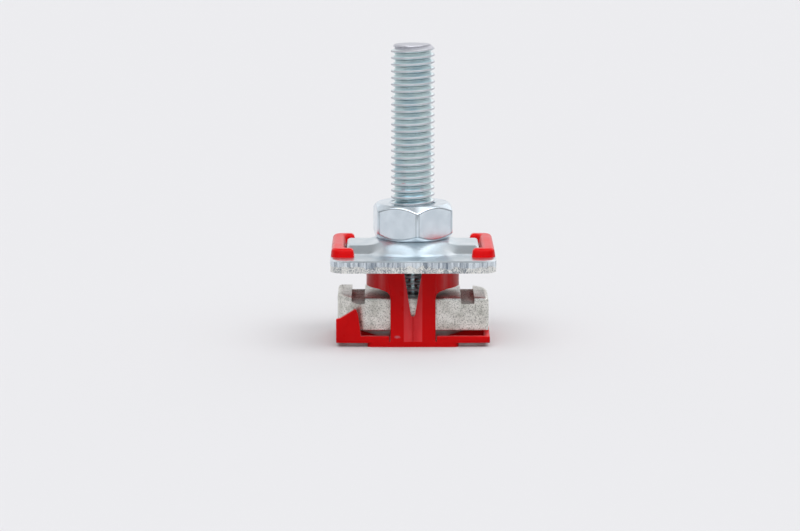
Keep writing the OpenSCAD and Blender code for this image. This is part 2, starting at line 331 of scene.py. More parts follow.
@dataclass(frozen=True)
class ZincPlating:
    """Bright zinc plating with a blue passivation, on forged or pressed steel.

    The eye gets a pale blue-grey mirror that is slightly clouded, with fine grit and small dark
    pits. The real grit is finer and is drawn as coarse as it needs to show.
    """

    name: str
    bright: str = "#E6EDF1"
    dull: str = "#CBD8DD"
    pit: str = "#7F8D96"
    cloud_mm: float = 3.0
    grit_mm: float = 0.35
    grit_depth_mm: float = 0.004
    smooth: float = 0.15
    rough: float = 0.28
    pitted: float = 0.45
    tint_span: tuple[float, float] = (0.38, 0.62)
    pit_span: tuple[float, float] = (0.62, 0.78)

    def painted_corner_lines(self, tree: bpy.types.NodeTree,
             place: bpy.types.NodeSocket) -> bpy.types.NodeSocket | float:
        """Share of the dark tone of painted reflection lines at a place, none on a plain sheet."""
        return 0.0

    def material(self) -> bpy.types.Material:
        """Builds the finish as a node material.

        Returns:
            The new material.
        """
        made, tree = new_material(self.name)
        place = add_node(tree, "ShaderNodeTexCoord").outputs["Object"]
        cloud = add_node(tree, "ShaderNodeTexNoise", {
            "Vector": place, "Scale": 1 / (self.cloud_mm * MM), "Detail": 5.0,
            "Roughness": 0.6}).outputs[0]
        grit = add_node(tree, "ShaderNodeTexNoise", {
            "Vector": place, "Scale": 1 / (self.grit_mm * MM), "Detail": 3.0,
            "Roughness": 0.7}).outputs[0]
        tint = add_node(tree, "ShaderNodeMapRange", {
            "Value": cloud, "From Min": self.tint_span[0], "From Max": self.tint_span[1]})
        plating = add_node(tree, "ShaderNodeMix", {
            0: tint.outputs[0], 6: linear(self.dull), 7: linear(self.bright)}, data_type="RGBA")
        pits = add_node(tree, "ShaderNodeMapRange", {
            "Value": grit, "From Min": self.pit_span[0], "From Max": self.pit_span[1],
            "To Max": self.pitted})
        # Real pits, and on the hexagon the painted dark reflection lines beside the corners, pull
        # the plating towards the pit colour.
        dull = add_node(tree, "ShaderNodeMath", {
            0: pits.outputs[0], 1: self.painted_corner_lines(tree, place)}, operation="MAXIMUM")
        colour = add_node(tree, "ShaderNodeMix", {
            0: dull.outputs[0], 6: plating.outputs[2], 7: linear(self.pit)}, data_type="RGBA")
        sheen = add_node(tree, "ShaderNodeMapRange", {
            "Value": cloud, "From Min": NOISE_SPAN[0], "From Max": NOISE_SPAN[1],
            "To Min": self.rough, "To Max": self.smooth})
        relief = add_node(tree, "ShaderNodeBump", {
            "Height": grit, "Strength": 1.0, "Distance": self.grit_depth_mm * MM})
        shader = add_node(tree, "ShaderNodeBsdfPrincipled", {
            "Base Color": colour.outputs[2], "Metallic": 1.0, "Roughness": sheen.outputs[0],
            "Normal": relief.outputs[0]})
        add_node(tree, "ShaderNodeOutputMaterial", {"Surface": shader.outputs[0]})
        return made


@dataclass(frozen=True)
class HexZinc(ZincPlating):
    """Zinc plating on a forged hexagon.

    The eye gets the clouded mirror, with a painted reflection: a thin dark line down each side of
    the rounded corners.
    """

    name: str = "zinc_plated_forged_steel"
    bright: str = "#DFE9F0"
    dull: str = "#D4DFE7"
    grit_mm: float = 0.24
    grit_depth_mm: float = 0.002
    smooth: float = 0.2
    rough: float = 0.25
    pitted: float = 0.6
    first_flat_deg: float = -54.0
    corner_r_mm: float = 9.6
    corner_least_mm: float = 9.4
    line_mm: float = 0.36
    corner_blend_mm: float = 0.1
    line_half_mm: float = 0.2
    # Darkest share of the painted reflection lines: dark lines painted beside the rounded corners
    # stand for reflections of dark surroundings.
    darkening: float = 0.55

    def painted_corner_lines(self, tree: bpy.types.NodeTree,
             place: bpy.types.NodeSocket) -> bpy.types.NodeSocket | float:
        """Share of the dark tone at a place: painted reflection lines beside the hexagon's corners.

        Args:
            tree: node tree that takes the nodes.
            place: socket with the place on the object.

        Returns:
            Socket with the share, from 0 to the darkening of the painted lines.
        """
        split = add_node(tree, "ShaderNodeSeparateXYZ", {0: place}).outputs
        angle = add_node(tree, "ShaderNodeMath", {0: split["Y"], 1: split["X"]},
                         operation="ARCTAN2")
        turned = add_node(tree, "ShaderNodeMath", {
            0: angle.outputs[0], 1: math.radians(self.first_flat_deg)}, operation="SUBTRACT")
        half_flat = math.pi / 6
        off = add_node(tree, "ShaderNodeMath", {0: turned.outputs[0], 1: half_flat},
                       operation="PINGPONG")
        line = half_flat - self.line_mm / self.corner_r_mm
        gap = add_node(tree, "ShaderNodeMath", {0: off.outputs[0], 1: line}, operation="SUBTRACT")
        width = add_node(tree, "ShaderNodeMath", {0: gap.outputs[0]}, operation="ABSOLUTE")
        share = add_node(tree, "ShaderNodeMapRange", {
            "Value": width.outputs[0], "From Max": self.line_half_mm / self.corner_r_mm,
            "To Min": self.darkening, "To Max": 0.0})
        outside = add_node(tree, "ShaderNodeMapRange", {
            "Value": axis_reach(tree, place), "From Min": self.corner_least_mm * MM,
            "From Max": (self.corner_least_mm + self.corner_blend_mm) * MM})
        return add_node(tree, "ShaderNodeMath", {
            0: share.outputs[0], 1: outside.outputs[0]}, operation="MULTIPLY").outputs[0]


@dataclass(frozen=True)
class RolledZinc:
    """Zinc plating on a rolled thread.

    The eye gets burnished blue-green flanks, with painted shade that darkens them into the roots,
    and dull off-white where the rolls don't press: along the crests and on the chamfered end.
    """

    name: str = "zinc_plated_rolled_steel"
    flank: str = "#DEEAEB"
    tinted: str = "#CEDFE4"
    crest: str = "#D2D3D9"
    pit: str = "#6A6C70"
    # Colour of the painted shade in the thread's roots.
    root: str = "#6C8087"
    root_r_mm: float = 4.0
    root_band_mm: float = 0.32
    crest_r_mm: float = 4.925
    crest_band_mm: float = 0.13
    end_mm: float = 66.1
    cloud_mm: float = 5.0
    grit_mm: float = 0.22
    grit_depth_mm: float = 0.02
    smooth: float = 0.2
    rough: float = 0.5
    pitted: float = 0.6
    root_shade_share: float = 0.28
    tint_span: tuple[float, float] = (0.4, 0.65)
    pit_span: tuple[float, float] = (0.55, 0.75)

    def material(self) -> bpy.types.Material:
        """Builds the finish as a node material.

        Returns:
            The new material.
        """
        made, tree = new_material(self.name)
        place = add_node(tree, "ShaderNodeTexCoord").outputs["Object"]
        reach = axis_reach(tree, place)
        outside = add_node(tree, "ShaderNodeMapRange", {
            "Value": reach, "From Min": (self.crest_r_mm - self.crest_band_mm) * MM,
            "From Max": (self.crest_r_mm - self.crest_band_mm / 3) * MM})
        height = add_node(tree, "ShaderNodeSeparateXYZ", {0: place}).outputs["Z"]
        end = add_node(tree, "ShaderNodeMapRange", {
            "Value": height, "From Min": (self.end_mm - self.crest_band_mm) * MM,
            "From Max": (self.end_mm + self.crest_band_mm) * MM})
        top = add_node(tree, "ShaderNodeMath", {
            0: outside.outputs[0], 1: end.outputs[0]}, operation="MAXIMUM").outputs[0]
        cloud = add_node(tree, "ShaderNodeTexNoise", {
            "Vector": place, "Scale": 1 / (self.cloud_mm * MM), "Detail": 4.0}).outputs[0]
        grit = add_node(tree, "ShaderNodeTexNoise", {
            "Vector": place, "Scale": 1 / (self.grit_mm * MM), "Detail": 2.0,
            "Roughness": 0.7}).outputs[0]
        tint = add_node(tree, "ShaderNodeMapRange", {
            "Value": cloud, "From Min": self.tint_span[0], "From Max": self.tint_span[1]})
        flank = add_node(tree, "ShaderNodeMix", {
            0: tint.outputs[0], 6: linear(self.flank), 7: linear(self.tinted)}, data_type="RGBA")
        pits = add_node(tree, "ShaderNodeMapRange", {
            "Value": grit, "From Min": self.pit_span[0], "From Max": self.pit_span[1],
            "To Max": self.pitted})
        crest = add_node(tree, "ShaderNodeMix", {
            0: pits.outputs[0], 6: linear(self.crest), 7: linear(self.pit)}, data_type="RGBA")
        # Painted shade: towards the root radius the flanks are darkened to the root colour, for the
        # shade in the thread's hollows.
        deep = add_node(tree, "ShaderNodeMapRange", {
            "Value": reach, "From Min": self.root_r_mm * MM,
            "From Max": (self.root_r_mm + self.root_band_mm) * MM,
            "To Min": self.root_shade_share, "To Max": 0.0})
        side = add_node(tree, "ShaderNodeMix", {
            0: deep.outputs[0], 6: flank.outputs[2], 7: linear(self.root)}, data_type="RGBA")
        colour = add_node(tree, "ShaderNodeMix", {
            0: top, 6: side.outputs[2], 7: crest.outputs[2]}, data_type="RGBA")
        sheen = add_node(tree, "ShaderNodeMapRange", {
            "Value": top, "To Min": self.smooth, "To Max": self.rough})
        depth = add_node(tree, "ShaderNodeMath", {0: grit, 1: top}, operation="MULTIPLY")
        relief = add_node(tree, "ShaderNodeBump", {
            "Height": depth.outputs[0], "Strength": 1.0, "Distance": self.grit_depth_mm * MM})
        shader = add_node(tree, "ShaderNodeBsdfPrincipled", {
            "Base Color": colour.outputs[2], "Metallic": 1.0, "Roughness": sheen.outputs[0],
            "Normal": relief.outputs[0]})
        add_node(tree, "ShaderNodeOutputMaterial", {"Surface": shader.outputs[0]})
        return made


@dataclass(frozen=True)
class ShearedEdge:
    """Sheared edge of the pressed plate, plated afterwards.

    The eye gets upright scratches, a blue burnished band above and a paler, grainy break below.
    """

    name: str = "zinc_plated_sheared_edge"
    burnished: str = "#E2EAF0"
    broken: str = "#F6F6F1"
    scratch: str = "#6F7B88"
    low_mm: float = 17.8
    sheet_mm: float = 2.75
    streak_mm: float = 0.35
    streak_squash: float = 0.06
    patch_mm: float = 3.0
    patch_share: float = 0.9
    grain_mm: float = 0.3
    wander_mm: float = 2.5
    wander_high_mm: float = 2.4
    blend_half_mm: float = 0.15
    relief_mm: float = 0.03
    smooth: float = 0.24
    rough: float = 0.5
    scratched: float = 0.95
    scratch_span: tuple[float, float] = (0.88, 1.14)

    def material(self) -> bpy.types.Material:
        """Builds the finish as a node material.

        Returns:
            The new material.
        """
        made, tree = new_material(self.name)
        place = add_node(tree, "ShaderNodeTexCoord").outputs["Object"]
        height = add_node(tree, "ShaderNodeSeparateXYZ", {0: place}).outputs["Z"]
        drawn = add_node(tree, "ShaderNodeVectorMath", {
            0: place, 1: (1.0, 1.0, self.streak_squash)}, operation="MULTIPLY")
        streak = add_node(tree, "ShaderNodeTexNoise", {
            "Vector": drawn.outputs[0], "Scale": 1 / (self.streak_mm * MM), "Detail": 4.0,
            "Roughness": 0.65}).outputs[0]
        wander = add_node(tree, "ShaderNodeTexNoise", {
            "Vector": drawn.outputs[0], "Scale": 1 / (self.wander_mm * MM),
            "Detail": 3.0}).outputs[0]
        grain = add_node(tree, "ShaderNodeTexNoise", {
            "Vector": place, "Scale": 1 / (self.grain_mm * MM), "Detail": 3.0,
            "Roughness": 0.7}).outputs[0]
        line = add_node(tree, "ShaderNodeMath", {
            0: wander, 1: -self.wander_high_mm * MM, 2: height}, operation="MULTIPLY_ADD")
        middle = self.low_mm + (self.sheet_mm - self.wander_high_mm) / 2
        upper = add_node(tree, "ShaderNodeMapRange", {
            "Value": line.outputs[0], "From Min": (middle - self.blend_half_mm) * MM,
            "From Max": (middle + self.blend_half_mm) * MM}).outputs[0]
        ground = add_node(tree, "ShaderNodeMix", {
            0: upper, 6: linear(self.broken), 7: linear(self.burnished)}, data_type="RGBA")
        mixed = add_node(tree, "ShaderNodeMix", {0: upper, 2: grain, 3: streak}, data_type="FLOAT")
        patch = add_node(tree, "ShaderNodeTexNoise", {
            "Vector": drawn.outputs[0], "Scale": 1 / (self.patch_mm * MM),
            "Detail": 2.0}).outputs[0]
        darkening = add_node(tree, "ShaderNodeMath", {
            0: patch, 1: self.patch_share, 2: mixed.outputs[0]}, operation="MULTIPLY_ADD")
        dark = add_node(tree, "ShaderNodeMapRange", {
            "Value": darkening.outputs[0], "From Min": self.scratch_span[0],
            "From Max": self.scratch_span[1], "To Max": self.scratched})
        colour = add_node(tree, "ShaderNodeMix", {
            0: dark.outputs[0], 6: ground.outputs[2], 7: linear(self.scratch)}, data_type="RGBA")
        sheen = add_node(tree, "ShaderNodeMapRange", {
            "Value": upper, "To Min": self.rough, "To Max": self.smooth})
        relief = add_node(tree, "ShaderNodeBump", {
            "Height": mixed.outputs[0], "Strength": 1.0, "Distance": self.relief_mm * MM})
        shader = add_node(tree, "ShaderNodeBsdfPrincipled", {
            "Base Color": colour.outputs[2], "Metallic": 1.0, "Roughness": sheen.outputs[0],
            "Normal": relief.outputs[0]})
        add_node(tree, "ShaderNodeOutputMaterial", {"Surface": shader.outputs[0]})
        return made


@dataclass(frozen=True)
class GrainySteel:
    """Zinc plating over the torn, grainy face of sawn and pressed steel.

    The eye gets a warm off-white that sparkles, closely peppered with small dark pits.
    """

    name: str = "zinc_plated_grainy_steel"
    pale: str = "#F3F2EC"
    shade: str = "#CDCCC4"
    pit: str = "#4A483F"
    cloud_mm: float = 2.5
    grain_mm: float = 0.33
    grain_depth_mm: float = 0.03
    pitted: float = 0.7
    rough: float = 0.42
    metal: float = 1.0
    tint_span: tuple[float, float] = (0.35, 0.65)
    pit_span: tuple[float, float] = (0.5, 0.64)

    def material(self) -> bpy.types.Material:
        """Builds the finish as a node material.

        Returns:
            The new material.
        """
        made, tree = new_material(self.name)
        place = add_node(tree, "ShaderNodeTexCoord").outputs["Object"]
        cloud = add_node(tree, "ShaderNodeTexNoise", {
            "Vector": place, "Scale": 1 / (self.cloud_mm * MM), "Detail": 4.0}).outputs[0]
        grain = add_node(tree, "ShaderNodeTexNoise", {
            "Vector": place, "Scale": 1 / (self.grain_mm * MM), "Detail": 4.0,
            "Roughness": 0.75}).outputs[0]
        tint = add_node(tree, "ShaderNodeMapRange", {
            "Value": cloud, "From Min": self.tint_span[0], "From Max": self.tint_span[1]})
        ground = add_node(tree, "ShaderNodeMix", {
            0: tint.outputs[0], 6: linear(self.shade), 7: linear(self.pale)}, data_type="RGBA")
        pits = add_node(tree, "ShaderNodeMapRange", {
            "Value": grain, "From Min": self.pit_span[0], "From Max": self.pit_span[1],
            "To Max": self.pitted})
        colour = add_node(tree, "ShaderNodeMix", {
            0: pits.outputs[0], 6: ground.outputs[2], 7: linear(self.pit)}, data_type="RGBA")
        relief = add_node(tree, "ShaderNodeBump", {
            "Height": grain, "Strength": 1.0, "Distance": -self.grain_depth_mm * MM})
        shader = add_node(tree, "ShaderNodeBsdfPrincipled", {
            "Base Color": colour.outputs[2], "Metallic": self.metal, "Roughness": self.rough,
            "Normal": relief.outputs[0]})
        add_node(tree, "ShaderNodeOutputMaterial", {"Surface": shader.outputs[0]})
        return made


@dataclass(frozen=True)
class RedPolyamide:
    """Moulded polyamide, coloured through.

    The eye gets a deep warm red with a soft gloss and the faint orange peel of a mould wall, and
    one small pale scuff low on the front post.
    """

    name: str = "moulded_red_polyamide"
    body: str = "#F2070C"
    deep: str = "#E5040A"
    cloud_mm: float = 4.0
    peel_mm: float = 0.5
    peel_depth_mm: float = 0.006
    gloss: float = 0.27
    matt: float = 0.38
    ior: float = 1.53
    specular: float = 0.13
    haze: float = 0.3
    haze_rough: float = 0.35
    scuff: str = "#D9939F"
    scuff_mm: tuple[float, float, float] = (-3.5, -11.0, 2.3)
    scuff_half_mm: tuple[float, float, float] = (1.1, 0.4, 0.5)
    scuff_span: tuple[float, float] = (0.75, 1.3)
    scuffed: float = 0.55

    def rubbed(self, tree: bpy.types.NodeTree, place: bpy.types.NodeSocket) -> bpy.types.NodeSocket:
        """Share of the scuff at a place.

        Args:
            tree: node tree that takes the nodes.
            place: socket with the place on the object.

        Returns:
            Socket with the share, from 0 to the finish's scuffing.
        """
        middle = tuple(c * MM for c in self.scuff_mm)
        grow = tuple(1 / (c * MM) for c in self.scuff_half_mm)
        off = add_node(tree, "ShaderNodeVectorMath", {0: place, 1: middle}, operation="SUBTRACT")
        scaled = add_node(tree, "ShaderNodeVectorMath", {0: off.outputs[0], 1: grow},
                          operation="MULTIPLY")
        far = add_node(tree, "ShaderNodeVectorMath", {0: scaled.outputs[0]}, operation="LENGTH")
        rough = add_node(tree, "ShaderNodeTexNoise", {
            "Vector": place, "Scale": 1 / (self.peel_mm * MM), "Detail": 3.0,
            "Roughness": 0.7}).outputs[0]
        edge = add_node(tree, "ShaderNodeMath", {0: far.outputs["Value"], 1: rough},
                        operation="ADD")
        spot = add_node(tree, "ShaderNodeMapRange", {
            "Value": edge.outputs[0], "From Min": self.scuff_span[0],
            "From Max": self.scuff_span[1], "To Min": self.scuffed, "To Max": 0.0})
        return spot.outputs[0]

    def material(self) -> bpy.types.Material:
        """Builds the finish as a node material.

        Returns:
            The new material.
        """
        made, tree = new_material(self.name)
        place = add_node(tree, "ShaderNodeTexCoord").outputs["Object"]
        cloud = add_node(tree, "ShaderNodeTexNoise", {
            "Vector": place, "Scale": 1 / (self.cloud_mm * MM), "Detail": 3.0}).outputs[0]
        peel = add_node(tree, "ShaderNodeTexNoise", {
            "Vector": place, "Scale": 1 / (self.peel_mm * MM), "Detail": 2.0}).outputs[0]
        clean = add_node(tree, "ShaderNodeMix", {
            0: cloud, 6: linear(self.deep), 7: linear(self.body)}, data_type="RGBA")
        colour = add_node(tree, "ShaderNodeMix", {
            0: self.rubbed(tree, place), 6: clean.outputs[2], 7: linear(self.scuff)},
            data_type="RGBA")
        sheen = add_node(tree, "ShaderNodeMapRange", {
            "Value": cloud, "From Min": NOISE_SPAN[0], "From Max": NOISE_SPAN[1],
            "To Min": self.gloss, "To Max": self.matt})
        relief = add_node(tree, "ShaderNodeBump", {
            "Height": peel, "Strength": 1.0, "Distance": self.peel_depth_mm * MM})
        shader = add_node(tree, "ShaderNodeBsdfPrincipled", {
            "Base Color": colour.outputs[2], "Roughness": sheen.outputs[0], "IOR": self.ior,
            "Specular IOR Level": self.specular, "Sheen Weight": self.haze,
            "Sheen Roughness": self.haze_rough, "Normal": relief.outputs[0]})
        add_node(tree, "ShaderNodeOutputMaterial", {"Surface": shader.outputs[0]})
        return made


@dataclass
class Piece:
    """A visible piece that stands for one CAD node. Its cutting tools pass it by the clearance."""

    node: str
    slot: str
    body: Body
    crease_deg: float = 34.0
    clear: float = 1.0

    def height(self) -> tuple[float, float]:
        """Lowest and highest point of the CAD node, in millimetres."""
        low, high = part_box(self.node)
        return low.z / MM, high.z / MM

    def drill(self, radius: float, facets: int) -> bmesh.types.BMesh:
        """Round tool on the stud's axis that passes right through the piece.

        Args:
            radius: radius of the hole that it cuts.
            facets: number of facets around it.

        Returns:
            The tool in millimetres.
        """
        low, high = self.height()
        low, high = low - self.clear, high + self.clear
        return lathe([(0, low), (radius, low), (radius, high), (0, high)], facets, closed=False)

    def settle(self, made: bpy.types.Object, *finishes: bpy.types.Material) -> bpy.types.Object:
        """Brings a shaped object to metres, shades and dresses it, and sets it in the frame.

        Args:
            made: object in millimetres.
            *finishes: materials in the order of the mesh's material numbers.

        Returns:
            The same object, riding on its body.
        """
        bm = bmesh.new()
        bm.from_mesh(made.data)
        face_outwards(bm)
        bmesh.ops.scale(bm, verts=bm.verts, vec=(MM, MM, MM))
        bm.to_mesh(made.data)
        bm.free()
        mesh = made.data
        numbers = [face.material_index for face in mesh.polygons]
        mesh.materials.clear()
        for finish in finishes:
            mesh.materials.append(finish)
        mesh.polygons.foreach_set("material_index", numbers)
        mesh.shade_smooth()
        mesh.set_sharp_from_angle(angle=math.radians(self.crease_deg))
        mesh.update()
        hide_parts(self.node)
        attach(made, self.body.value)
        log.info("%s: %d faces", made.name, len(mesh.polygons))
        return made


@dataclass
class ThreadedStud(Piece):
    """Stud with a rolled M10 thread and a chamfered end."""

    node: str = "threaded_stud"
    slot: str = "stud_zinc"
    body: Body = Body.FASTENER
    crest_r: float = 4.925
    root_r: float = 4.0
    pitch: float = 1.5
    tip_r: float = 4.1
    chamfer: float = 0.95
    first_crest: float = 0.57
    spare_turns: int = 2
    facets: int = 56

    def profile(self) -> list[tuple[float, float]]:
        """Half of one thread's profile as shares of the pitch and of the depth, root to crest."""
        return [(0, 0), (0.04, 0.01), (0.07, 0.06), (0.15, 0.28), (0.26, 0.6), (0.365, 0.9),
                (0.395, 0.965), (0.435, 1)]

    def build(self) -> bpy.types.Object:
        """Winds the thread, trims both ends and chamfers the free one.

        Returns:
            The stud in millimetres.
        """
        low, high = self.height()
        depth = self.crest_r - self.root_r
        half = self.profile()
        whole = half + [(1 - along, rise) for along, rise in reversed(half)]
        bm = bmesh.new()
        spare = self.spare_turns * self.pitch
        start = low - spare + self.first_crest
        verts = [bm.verts.new((self.root_r + rise * depth, 0, start + along * self.pitch))
                 for along, rise in whole]
        edges = [bm.edges.new(pair) for pair in zip(verts, verts[1:])]
        bmesh.ops.spin(bm, geom=verts + edges, cent=(0, 0, 0), axis=(0, 0, 1),
                       dvec=(0, 0, self.pitch / self.facets), angle=math.tau, steps=self.facets)
        turns = 1
        while turns * self.pitch < high - low + 2 * spare:
            twin = bmesh.ops.duplicate(bm, geom=bm.verts[:] + bm.edges[:] + bm.faces[:])
            moved = [v for v in twin["geom"] if isinstance(v, bmesh.types.BMVert)]
            bmesh.ops.translate(bm, verts=moved, vec=(0, 0, turns * self.pitch))
            turns *= 2
        bmesh.ops.remove_doubles(bm, verts=bm.verts, dist=JOIN)
        for level, outward in ((high, 1), (low, -1)):
            bmesh.ops.bisect_plane(bm, geom=bm.verts[:] + bm.edges[:] + bm.faces[:], dist=PLANE,
                                   plane_co=(0, 0, level), plane_no=(0, 0, outward),
                                   clear_outer=True)
            rim = [e for e in bm.edges if e.is_boundary
                   and all(abs(v.co.z - level) < JOIN for v in e.verts)]
            bmesh.ops.contextual_create(bm, geom=rim)
        slope = (self.crest_r - self.tip_r) / self.chamfer
        for vert in bm.verts:
            limit = self.tip_r + slope * (high - vert.co.z)
            reach = vert.co.xy.length
            if reach > limit:
                vert.co.x *= limit / reach
                vert.co.y *= limit / reach
        return new_object(bm, "stud_rolled")

    def dress(self) -> bpy.types.Object:
        """Builds the stud and gives it rolled, plated steel."""
        return self.settle(self.build(), RolledZinc().material())


@dataclass
class HexNut(Piece):
    """Hexagon nut with chamfered corners, countersunk mouths and its own thread."""

    node: str = "hex_nut"
    slot: str = "nut_zinc"
    body: Body = Body.NUT
    across_flats: float = 17.0
    ring_r: float = 8.0
    chamfer_deg: float = 40.0
    mouth_r: float = 5.4
    bore_r: float = 4.99
    groove_r: float = 5.36
    groove_steep: float = 2.6
    pitch: float = 1.5
    first_flat_deg: float = -54.0
    corner_reach: float = 0.4
    edge_reach: float = 0.26
    row_step: float = 0.06
    row_count: int = 27
    bore_cells: int = 64
    facets: int = 240

    def flat_reach(self, angle: float) -> float:
        """Distance from the axis to the flats in a direction, with the corners rounded over.

        Args:
            angle: direction about the axis, in radians.

        Returns:
            The distance in millimetres.
        """
        flat, half_flat = math.pi / 3, math.pi / 6
        turned = (angle - math.radians(self.first_flat_deg) + half_flat) % flat - half_flat
        half = self.across_flats / 2
        nearest = half / math.cos(turned)
        other = half / math.cos(flat - abs(turned))
        return soft_min(nearest, other, self.corner_reach)

    def bore_reach(self, angle: float, depth: float, height: float) -> float:
        """Radius of the threaded bore and its mouths at an angle and a depth below the top.

        Args:
            angle: direction about the axis, in radians.
            depth: depth below the nut's top.
            height: height of the nut.

        Returns:
            The radius in millimetres.
        """
        phase = ((depth + self.pitch * angle / math.tau) / self.pitch) % 1
        flank = min(1.0, abs(phase - 0.5) * self.groove_steep)
        groove = self.groove_r - (self.groove_r - self.bore_r) * flank
        mouth = self.mouth_r - min(depth, height - depth)
        return max(groove, mouth)

    def build(self) -> bpy.types.Object:
        """Spins a thick ring and presses the flats, chamfers and thread into it.

        Returns:
            The nut in millimetres.
        """
        low, high = self.height()
        height = high - low
        fine = [self.row_step * i for i in range(self.row_count)]
        rows = fine + [height / 2] + [height - z for z in reversed(fine)]
        bore_rows = [height * i / self.bore_cells for i in range(self.bore_cells + 1)]
        outline = [(self.across_flats, z) for z in rows]
        outline += [(self.bore_r, z) for z in reversed(bore_rows)]
        bm = lathe(outline, self.facets, closed=True)
        slope = 1 / math.tan(math.radians(self.chamfer_deg))
        for vert in bm.verts:
            angle = math.atan2(vert.co.y, vert.co.x)
            level = vert.co.z
            if vert.co.xy.length > self.across_flats / 2:
                cone = self.ring_r + slope * min(level, height - level)
                reach = soft_min(self.flat_reach(angle), cone, self.edge_reach)
            else:
                reach = self.bore_reach(angle, height - level, height)
            vert.co = (reach * math.cos(angle), reach * math.sin(angle), low + level)
        return new_object(bm, "nut_hexagon")

    def dress(self) -> bpy.types.Object:
        """Builds the nut and gives it forged, plated steel."""
        return self.settle(self.build(), HexZinc(first_flat_deg=self.first_flat_deg).material())


@dataclass
class ClampPlate(Piece):
    """Sheared and pressed plate with a raised bridge, a round nut seat and a notch at each end.

    It is pressed from a grid of cells that stands past its outline by the spare width.
    """

    node: str = "clamp_plate"
    slot: str = "plate_zinc"
    body: Body = Body.FASTENER
    clear: float = 2.0
    width: float = 37.0
    depth: float = 35.0
    sheet: float = 2.75
    corner_r: float = 3.5
    corner_parts: int = 16
    bridge_half_l: float = 14.8
    bridge_half_w: float = 5.15
    bridge_rise: float = 1.75
    bridge_run: float = 4.0
    bridge_end_r: float = 3.0
    bridge_end_run: float = 0.4
    seat_r: float = 7.65
    seat_rise: float = 2.75
    seat_run: float = 6.0
    blend: float = 2.9
    hole_r: float = 5.5
    hole_facets: int = 96
    notch_half: float = 6.1
    under_r: float = 8.2
    under_run: float = 0.8
    roll: float = 0.7
    roll_drop: float = 0.32
    edge_lean: float = 0.2
    spare: float = 0.5
    cells: int = 150
    end_cells: int = 12
    end_spare: float = 0.05

    def columns(self) -> list[float]:
        """Places of the grid lines across the width, close together where the bridge ends.

        Returns:
            The places from left to right, in millimetres.
        """
        low = self.bridge_half_l - self.end_spare
        high = self.bridge_half_l + self.bridge_end_run + self.end_spare
        half, ends = self.width / 2 + self.spare, self.end_cells
        inner = self.cells // 2 - 2 * ends
        right = [low * i / inner for i in range(inner)]
        right += [low + (high - low) * i / ends for i in range(ends)]
        right += [high + (half - high) * i / ends for i in range(ends + 1)]
        return [-x for x in reversed(right[1:])] + right

    def outline_gap(self, x: float, y: float) -> float:
        """Distance from a point inwards to the plate's outline, notches included.

        Args:
            x: place across the plate.
            y: place along it, from front to back.

        Returns:
            The distance in millimetres, negative outside the outline.
        """
        edge = rounded_gap(x, y, self.width / 2, self.depth / 2, self.corner_r)
        into_notch = max(self.bridge_half_l - abs(x), abs(y) - self.notch_half)
        return min(edge, into_notch)

    def top_rise(self, x: float, y: float) -> float:
        """Height of the pressed upper face above the flat sheet.

        Args:
            x: place across the plate.
            y: place along it, from front to back.

        Returns:
            The height in millimetres, negative where the edge rolls over.
        """
        reach = self.bridge_half_w + self.bridge_run
        within = rounded_gap(x, y, self.bridge_half_l, reach, self.bridge_end_r)
        bridge = self.bridge_rise * ramp((reach - abs(y)) / self.bridge_run)
        bridge *= ease(1 + within / self.bridge_end_run)
        slope = (self.seat_r + self.seat_run - math.hypot(x, y)) / self.seat_run
        seat = self.seat_rise * ramp(slope)
        rise = (bridge ** self.blend + seat ** self.blend) ** (1 / self.blend)
        near = min(1.0, max(0.0, 1 - self.outline_gap(x, y) / self.roll))
        return min(rise, self.seat_rise) - self.roll_drop * near * near

    def under_rise(self, x: float, y: float) -> float:
        """Height of the pressed lower face above the flat sheet's underside.

        Args:
            x: place across the plate.
            y: place along it, from front to back.

        Returns:
            The height in millimetres.
        """
        bridge = ease((self.notch_half + self.under_run - abs(y)) / self.under_run)
        seat = ease((self.under_r + self.under_run - math.hypot(x, y)) / self.under_run)
        return self.bridge_rise * max(bridge, seat)

    def blank(self) -> bmesh.types.BMesh:
        """Outline of the sheared blank as a tall solid with rounded corners.

        Returns:
            The tool in millimetres.
        """
        low, high = self.height()
        bm = block(self.width, self.depth, low - self.clear, high + self.clear)
        round_edges(bm, upright_edges(bm), self.corner_r, self.corner_parts)
        return bm

    def build(self) -> bpy.types.Object:
        """Presses a fine sheet to shape, gives it thickness and shears its outline.

        Returns:
            The plate in millimetres.
        """
        low, high = self.height()
        bm = bmesh.new()
        bmesh.ops.create_grid(bm, x_segments=self.cells, y_segments=self.cells, size=UNIT_HALF)
        bmesh.ops.scale(bm, verts=bm.verts, vec=(1, self.depth + 2 * self.spare, 1))
        columns = self.columns()
        for vert in bm.verts:
            vert.co.x = columns[round((vert.co.x + UNIT_HALF) * self.cells)]
        upper = bm.verts[:]
        grown = bmesh.ops.extrude_face_region(bm, geom=bm.faces[:], use_keep_orig=True)
        under = [v for v in grown["geom"] if isinstance(v, bmesh.types.BMVert)]
        for vert in upper:
            vert.co.z = low + self.sheet + self.top_rise(vert.co.x, vert.co.y)
        for vert in under:
            vert.co.z = low + self.under_rise(vert.co.x, vert.co.y)
        made = new_object(bm, "plate_pressed")
        combine(made, new_object(self.blank(), "blank"), Cut.KEEP)
        reach = self.width / 2 - self.bridge_half_l
        for side in (-1, 1):
            near, far = self.bridge_half_l * side, (self.bridge_half_l + 2 * reach) * side
            notch = prism(rectangle(near, far, -self.notch_half, self.notch_half),
                          low - self.clear, high + self.clear)
            combine(made, new_object(notch, "notch"), Cut.REMOVE)
        hole = self.drill(self.hole_r, self.hole_facets)
        combine(made, new_object(hole, "hole"), Cut.REMOVE)
        return made

